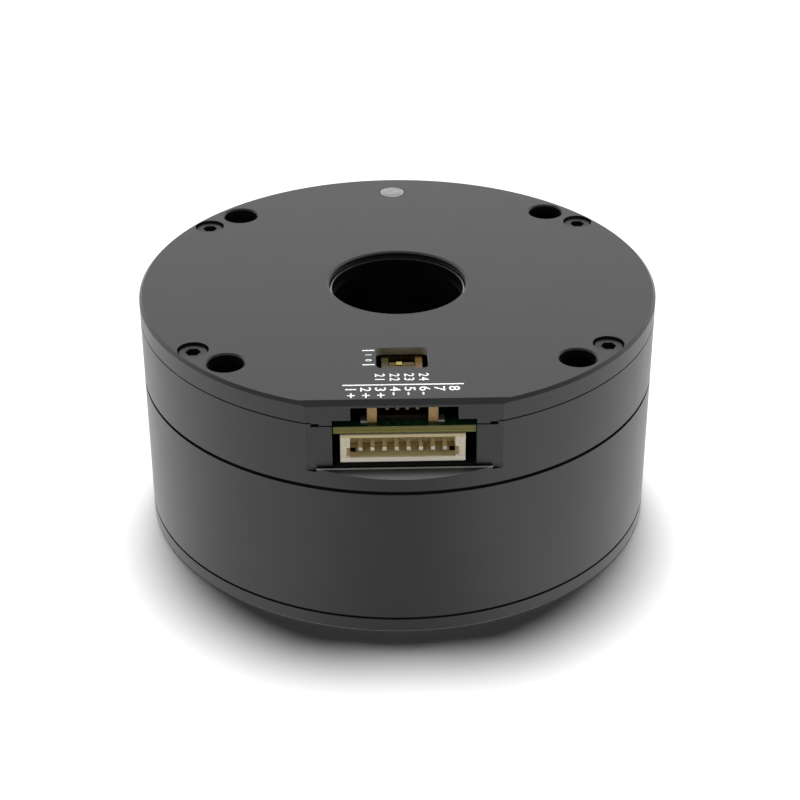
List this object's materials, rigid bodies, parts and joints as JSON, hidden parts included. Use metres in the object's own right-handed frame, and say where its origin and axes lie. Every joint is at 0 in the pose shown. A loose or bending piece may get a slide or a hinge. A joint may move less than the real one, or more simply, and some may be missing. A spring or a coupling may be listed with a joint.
{
  "type": "hollow-shaft servo motor",
  "caption": "Flat round direct-drive servo motor with an outer rotor, a hollow shaft, a driver board under a screwed cover, two wire headers in a milled flat and a small slide switch.",
  "frame": {"origin": "centre of the output face, at the bottom of the axis", "axes": "+Z along the axis from the output face to the cover, -Y towards the connectors"},
  "size_m": [0.07, 0.07, 0.033],
  "materials": {
    "anodised_shell": "dark grey anodised, satin",
    "rotor_coat": "dark grey coated steel, satin",
    "black_screw": "black oxide",
    "bright_steel": "ground",
    "shaft_steel": "turned",
    "bare_aluminium": "turned",
    "core_steel": "stacked laminations",
    "copper_wire": "enamelled copper",
    "magnet_nickel": "nickel plated",
    "insulator_white": "moulded",
    "cage_nylon": "moulded",
    "board_green": "solder mask over glass laminate",
    "chip_black": "moulded package",
    "capacitor_can": "drawn can",
    "header_cream": "moulded nylon",
    "header_brown": "moulded, amber brown",
    "contact_metal": "tin plated",
    "switch_brown": "moulded",
    "slider_yellow": "moulded",
    "light_window": "translucent white"
  },
  "bodies": {
    "stator": {"top_cover": "anodised_shell", "driver_housing": "anodised_shell", "cover_screws": "black_screw", "led_light_pipe": "light_window", "status_led": "light_window", "driver_board": "board_green", "board_screws": "bright_steel", "power_header_shell": "header_cream", "power_header_pins": "contact_metal", "serial_header_shell": "header_brown", "serial_header_pins": "contact_metal", "serial_header_tabs": "contact_metal", "switch_body": "switch_brown", "power_mosfets": "chip_black", "shunt_resistors": "chip_black", "microcontroller": "chip_black", "gate_driver": "chip_black", "bulk_capacitors": "capacitor_can", "encoder_sensor": "chip_black", "stator_carrier": "bare_aluminium", "carrier_retaining_ring": "bright_steel", "carrier_screws": "black_screw", "stator_core": "core_steel", "upper_slot_insulator": "insulator_white", "lower_slot_insulator": "insulator_white", "stator_coils": "copper_wire", "phase_leads": "copper_wire", "upper_bearing_outer_ring": "bright_steel", "lower_bearing_outer_ring": "bright_steel"},
    "rotor": {"rotor_ring": "rotor_coat", "rotor_magnets": "magnet_nickel", "end_bell": "anodised_shell", "hollow_shaft": "shaft_steel", "shaft_screws": "black_screw", "upper_bearing_inner_ring": "bright_steel", "lower_bearing_inner_ring": "bright_steel", "bearing_spacer": "bare_aluminium", "shaft_retaining_ring": "bright_steel", "encoder_hub": "bare_aluminium", "encoder_magnet": "magnet_nickel"},
    "upper_balls": {"upper_bearing_cage": "cage_nylon", "upper_bearing_balls": "bright_steel"},
    "lower_balls": {"lower_bearing_cage": "cage_nylon", "lower_bearing_balls": "bright_steel"},
    "slider": {"switch_slider": "slider_yellow"}
  },
  "joints": [
    {"name": "rotor_spin", "type": "hinge", "parent": "stator", "child": "rotor", "pos_m": [0, 0, 0], "axis": [0, 0, 1], "continuous": true},
    {"name": "upper_ball_orbit", "type": "hinge", "parent": "stator", "child": "upper_balls", "pos_m": [0, 0, 0.0209], "axis": [0, 0, 1], "continuous": true},
    {"name": "lower_ball_orbit", "type": "hinge", "parent": "stator", "child": "lower_balls", "pos_m": [0, 0, 0.0084], "axis": [0, 0, 1], "continuous": true},
    {"name": "switch_slide", "type": "slide", "parent": "stator", "child": "slider", "axis": [0, 1, 0], "range_m": [0, 0.0014]}
  ],
  "couplings": [
    {"joint": "upper_ball_orbit", "follows": "rotor_spin", "ratio": 0.43269},
    {"joint": "lower_ball_orbit", "follows": "rotor_spin", "ratio": 0.43269}
  ]
}
